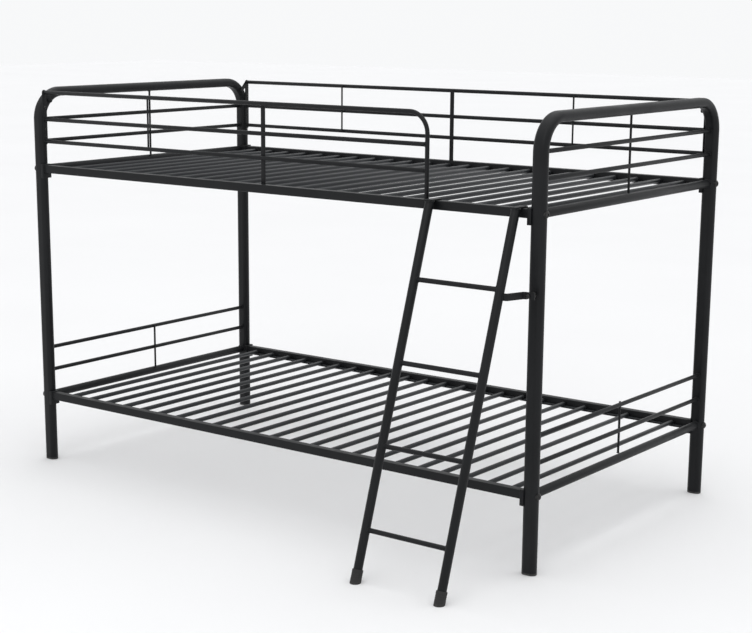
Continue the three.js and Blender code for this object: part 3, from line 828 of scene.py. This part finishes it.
def screws(s, sy):
    """Pan head screws that hold the strap to the post."""
    shell = Shell()
    for z in (GUARD_LOW + 39, GUARD_MID + 39):
        prof = [(0.4, -2.0), (2.0, -2.0), (2.0, 0.0), (4.9, 0.0), (5.0, 0.7), (4.7, 1.5), (3.9, 2.25), (2.7, 2.75), (1.9, 2.85), (1.7, 2.6), (1.6, 1.2), (0.3, 1.0)]
        shell.add(lathe(prof, (s * (STRAP_X - 3.0), sy * HY, z), (-s, 0, 0), Z3, 36))
    return shell


def merge(*shells):
    out = Shell()
    for sh in shells:
        n0 = out.n
        out.v += sh.v
        out.f += [[i + n0 for i in f] for f in sh.f]
        out.n += sh.n
    return out


x0 = -(STRAP_X - 3.0) - 0.4
st = [(np.array([x0, -HY, TOP]), Y3, np.cross(X3, Y3))]
st += arc((END_X - BEND2, -HY, TOP - BEND2), BEND2, Z3, X3, Y3, 26)
st += [(np.array([END_X, -HY, RAIL_TOP + 0.3]), Y3, np.cross(-Z3, Y3))]
make("front_guard_top_tube", merge(Shell().add(run(st, BAR)), strap(-1, -1)), BED, COAT, ["front_guard_top_rail"])
a = -(STRAP_X - 3.0) + 0.3
b = END_X - 6.95
for node, z in (("mid", GUARD_MID), ("low", GUARD_LOW)):
    make(f"front_guard_{node}_tube", Shell().add(run(line((a, -HY, z), (b, -HY, z), Y3), BAR)), BED, COAT, [f"front_guard_{node}_bar"])
xr = STRAP_X - 3.0 + 0.4
make(
    "rear_guard_top_tube",
    merge(Shell().add(run(line((-xr, HY, TOP), (xr, HY, TOP), Y3), BAR)), strap(-1, 1), strap(1, 1)),
    BED,
    COAT,
    ["rear_guard_top_rail"],
)
xr = STRAP_X - 3.0 - 0.3
for node, z in (("mid", GUARD_MID), ("low", GUARD_LOW)):
    make(f"rear_guard_{node}_tube", Shell().add(run(line((-xr, HY, z), (xr, HY, z), Y3), BAR)), BED, COAT, [f"rear_guard_{node}_bar"])

for where, sy, ends in (("front", -1, (-1,)), ("rear", 1, (-1, 1))):
    y = sy * (HY - 8.65)
    make(
        f"{where}_guard_flat_upright",
        Shell().add(plate((-7.5, y - 2, RAIL_TOP + 0.3), (7.5, y + 2, TOP + 5), 0.9)),
        BED,
        COAT,
        [f"{where}_guard_upright"],
    )
    ry = sy * (HY - 6.35 - 3.0 - 0.9)
    rods = (("left", -1),) if sy < 0 else (("left", -1), ("right", 1))
    welds = Shell()
    for side, t in rods:
        make(
            f"{where}_guard_{side}_thin_rod",
            Shell().add(run(line((t * 478, ry, GUARD_LOW - 5), (t * 478, ry, TOP + 4), X3), circle(3.0, 22), 0.9)),
            BED,
            COAT,
            [f"{where}_guard_{side}_rod"],
        )
        for z in (GUARD_LOW, GUARD_MID, TOP):
            for d in (-1, 1):
                welds.add(weld_line((t * 478 + d * 2.3, sy * (HY - 7.0), z - 2.8), (t * 478 + d * 2.3, sy * (HY - 7.0), z + 2.8), 1.15))
    for z in (GUARD_LOW, GUARD_MID, TOP):
        for d in (-1, 1):
            welds.add(weld_line((d * 7.4, sy * (HY - 6.5), z - 3.4), (d * 7.4, sy * (HY - 6.5), z + 3.4), 1.35))
    welds.add(weld_line((-6.4, y - 2.0, RAIL_TOP + 0.5), (6.4, y - 2.0, RAIL_TOP + 0.5), 1.3))
    welds.add(weld_line((-6.4, y + 2.0, RAIL_TOP + 0.5), (6.4, y + 2.0, RAIL_TOP + 0.5), 1.3))
    for s in ends:
        for z in (GUARD_LOW, GUARD_MID, TOP):
            welds.add(weld_ring((s * (STRAP_X - 2.9), sy * HY, z), (s, 0, 0), Y3, 6.35, 1.5, None, 54))
        make(f"{where}_guard_{'left' if s < 0 else 'right'}_strap_screws", screws(s, sy), BED, OXIDE, [], 28)
    if sy < 0:
        for z in (GUARD_LOW, GUARD_MID):
            welds.add(weld_ring((END_X - 6.6, -HY, z), (1, 0, 0), Y3, 6.0, 1.6, round_reach(6.35), 54))
        welds.add(weld_ring((END_X, -HY, RAIL_TOP + 0.3), (0, 0, -1), X3, 6.35, 1.7, None, 54))
    make(f"{where}_guard_welds", welds, BED, WELD)


# ------------------------------------------------------------------ ladder
SLOPE = 0.3233
FOOT_Y = -859.0
AX = unit((0.0, SLOPE, 1.0))
ACROSS = np.cross(AX, X3)  # square to the rail, pointing up the bed
LX = (mid("ladder_left_foot_cap", 0), mid("ladder_right_foot_cap", 0))
RUNGS = [mid(f"ladder_rung_{i}", 2) for i in range(1, 5)]


def on_axis(x, s):
    return np.array([x, FOOT_Y, 0.0]) + AX * s


for side, x in zip(("left", "right"), LX):
    top = 1012.0 / AX[2]
    tube = Shell().add(run([(on_axis(x, 10.0), X3, ACROSS), (on_axis(x, top), X3, ACROSS)], circle(12.7, 40)))
    over = RAIL_TOP + 0.3
    inside = -HY + 12.7 + 0.3
    outside = FOOT_Y + SLOPE * over - 13.7
    route = [(x, outside, over + 2.0), (x, inside + 2.0, over + 2.0), (x, inside + 2.0, over - 19.0)]
    hook = routed(route, [3.4], X3, 12)
    tube.add(run(hook, rounded(22.0, 4.0, 0.8), 0.5))
    make(f"ladder_{side}_stile", tube, LADDER, COAT, [f"ladder_{side}_rail"])

    # Rubber foot: cut level with the floor, ribbed, with a rolled lip.
    n = 56
    w = (np.arange(n) + 0.5) / n * 2 * math.pi
    d = np.cos(w)[:, None] * X3 + np.sin(w)[:, None] * ACROSS
    rings = []
    for z, r in ((0.0, 13.6), (0.0, 14.7), (0.35, 15.2), (1.1, 15.45), (2.4, 15.5)):
        s = (z - r * d[:, 2]) / AX[2]
        rings.append(on_axis(x, 0.0) + r * d + s[:, None] * AX)
    for s, r in ((11.0, 15.5), (14.0, 15.5), (14.7, 15.0), (16.3, 15.0), (17.0, 15.5), (20.0, 15.5), (20.7, 15.0), (22.3, 15.0), (23.0, 15.5), (26.0, 15.5), (26.7, 15.0), (28.3, 15.0), (29.0, 15.5), (35.6, 15.5), (36.9, 15.3), (37.7, 14.7), (38.0, 13.9), (37.6, 13.2), (36.6, 12.9), (33.0, 12.6)):
        rings.append(on_axis(x, s) + r * d)
    make(f"ladder_{side}_rubber_foot", Shell().add(loft(rings)), LADDER, RUBBER, [f"ladder_{side}_foot_cap"], 40)

welds = Shell()
for i, z in enumerate(RUNGS):
    y = FOOT_Y + SLOPE * z
    make(
        f"ladder_rung_{i + 1}_tube",
        Shell().add(run(line((LX[0] + 13.0, y, z), (LX[1] - 13.0, y, z), Y3), circle(7.0, 32))),
        LADDER,
        COAT,
        [f"ladder_rung_{i + 1}"],
    )

    for s, x in ((-1, LX[0] + 12.7), (1, LX[1] - 12.7)):
        welds.add(weld_ring((x, y, z), (s, 0, 0), ACROSS, 7.0, 1.8, round_reach(12.7), 60))
for x in LX:
    over = RAIL_TOP + 0.3
    yt = FOOT_Y + SLOPE * over
    pts = []
    for k in range(64):
        t = k / 64 * 2 * math.pi
        pts.append((x + 12.4 * math.cos(t), yt - 0.6 + 13.1 * math.sin(t), over - 0.8))
    welds.add(bead(pts, ripple(64, 80, 1.7), True))


def stay():
    """Bent flat bar with a notch, open downwards, that drops over the stud."""
    lo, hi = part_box("ladder_stay")
    z0, z1 = lo.z * 1000, hi.z * 1000
    zc = (z0 + z1) / 2
    y0 = FOOT_Y + SLOPE * zc
    ys = hi.y * 1000 - YC - 2.0
    route = [(LX[1] + 13.2, y0, zc), (934, y0, zc), (953, ys, zc), (hi.x * 1000, ys, zc)]
    st = routed(route, [7.0, 7.0], Z3, 12)
    v, f = run(st, rounded(z1 - z0, 4.0, 1.0), 0.5)

    def solid(name, verts, faces):
        me = bpy.data.meshes.new(name)
        me.from_pydata(verts.tolist(), [], faces)
        bm = bmesh.new()
        bm.from_mesh(me)
        bmesh.ops.recalc_face_normals(bm, faces=bm.faces)
        bm.to_mesh(me)
        bm.free()
        o = bpy.data.objects.new(name, me)
        bpy.context.scene.collection.objects.link(o)
        return o

    zs = mid("ladder_stay_stud", 2)
    outline = [(HX - 4.5, z0 - 8)]
    outline += [(HX + 4.5 * math.cos(t), zs + 4.5 * math.sin(t)) for t in np.linspace(math.pi, 0, 17)]
    outline += [(HX + 4.5, z0 - 8)]
    cutter = solid("cutter", *prism(outline, ys - 10, ys + 10, lambda a, b, c: (a, c, b), 0.0))
    bar = solid("bar", v, f)
    m = bar.modifiers.new("notch", "BOOLEAN")
    m.operation = "DIFFERENCE"
    m.solver = "EXACT"
    m.object = cutter
    dg = bpy.context.evaluated_depsgraph_get()
    me = bpy.data.meshes.new_from_object(bar.evaluated_get(dg))
    verts = np.array([tuple(q.co) for q in me.vertices])
    faces = [list(p.vertices) for p in me.polygons]
    for o in (bar, cutter):
        bpy.data.objects.remove(o)
    return Shell().put(verts, faces)


make("ladder_stay_bar", stay(), LADDER, COAT, ["ladder_stay"])
zc = mid("ladder_stay", 2)
yc = FOOT_Y + SLOPE * zc
for dy in (-2.2, 2.2):
    welds.add(weld_line((LX[1] + 13.1, yc + dy, zc - 8.5), (LX[1] + 13.1, yc + dy, zc + 8.5), 1.5))
make("ladder_welds", welds, LADDER, WELD)

lo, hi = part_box("ladder_stay_stud")
base = -(hi.y * 1000 - YC)
tip = -(lo.y * 1000 - YC)
prof = soft_profile(
    [(0.3, base), (8.0, base), (8.0, base + 2.5), (4.0, base + 3.5), (4.0, tip - 3.8), (7.0, tip - 3.8), (7.0, tip - 1.8), (5.0, tip - 0.4), (0.3, tip)],
    0.5,
)
make(
    "ladder_stay_headed_stud",
    Shell().add(lathe(prof, (HX, 0, mid("ladder_stay_stud", 2)), (0, -1, 0), X3, 48)),
    BED,
    OXIDE,
    ["ladder_stay_stud"],
    28,
)

# ------------------------------------------------------------------ stage
floor_mesh = bpy.data.meshes.new("floor")
R = 30.0
floor_mesh.from_pydata([(-R, -R, 0), (R, -R, 0), (R, R, 0), (-R, R, 0)], [], [[0, 1, 2, 3]])
floor = bpy.data.objects.new("floor", floor_mesh)
bpy.context.scene.collection.objects.link(floor)
fm = Nodes("pale_floor")
soft = fm.noise(0.8, 2.0, 0.5)
fm.link(fm.mix(fm.span(soft, 0.3, 0.7, 0.0, 1.0), (0.80, 0.80, 0.805), (0.815, 0.815, 0.82)), fm.b.inputs["Base Color"])
fm.b.inputs["Roughness"].default_value = 0.75
fm.b.inputs["Specular IOR Level"].default_value = 0.15
floor_mesh.materials.append(fm.m)

world = bpy.data.worlds.new("studio")
bpy.context.scene.world = world
world.use_nodes = True
bg = world.node_tree.nodes["Background"]
bg.inputs["Color"].default_value = (0.985, 0.992, 1.0, 1.0)
bg.inputs["Strength"].default_value = 0.95


def light(name, kind, place_, target, energy, size=1.0, colour=(1, 1, 1), angle=None):
    d = bpy.data.lights.new(name, kind)
    d.energy = energy
    d.color = colour
    if kind == "AREA":
        d.shape = "DISK"
        d.size = size
    if angle is not None:
        d.angle = math.radians(angle)
    o = bpy.data.objects.new(name, d)
    o.location = place_
    o.rotation_mode = "QUATERNION"
    o.rotation_quaternion = (Vector(target) - Vector(place_)).to_track_quat("-Z", "Y")
    bpy.context.scene.collection.objects.link(o)
    return o


light("soft_sun", "SUN", (1.0, 1.6, 7.0), (0, 0, 0), 0.78, angle=80)
light("key_panel", "AREA", (1.0, -3.6, 4.4), (0, 0.1, 0.7), 30.0, size=3.2)

bpy.context.scene.view_settings.view_transform = "Standard"

# ------------------------------------------------------------------ camera
yaw, pitch, roll = -0.6555173, 0.2182462, 0.0044739
d = np.array([math.sin(yaw) * math.cos(pitch), math.cos(yaw) * math.cos(pitch), -math.sin(pitch)])
r = np.array([math.cos(yaw), -math.sin(yaw), 0.0])
u = np.cross(r, d)
c_, s_ = math.cos(roll), math.sin(roll)
r2, u2 = c_ * r + s_ * u, -s_ * r + c_ * u
cam_data = bpy.data.cameras.new("camera")
cam = bpy.data.objects.new("camera", cam_data)
bpy.context.scene.collection.objects.link(cam)
m = Matrix.Identity(4)
for i in range(3):
    m[i][0], m[i][1], m[i][2] = r2[i], u2[i], -d[i]
k = 1.008 / 1.004
m[0][3], m[1][3], m[2][3] = 3.227419 * k, -4.235025 * k + YC / 1000, 1.531354 * k
cam.matrix_world = m
cam_data.sensor_width = 36.0
cam_data.lens = 36.0 * 1657.024 / 752
cam_data.shift_x = (376.0 - 356.0) / 752
cam_data.shift_y = (372.0 - 316.5) / 752
cam_data.clip_start = 0.05
cam_data.clip_end = 200.0
cam_data.dof.use_dof = False
bpy.context.scene.camera = cam
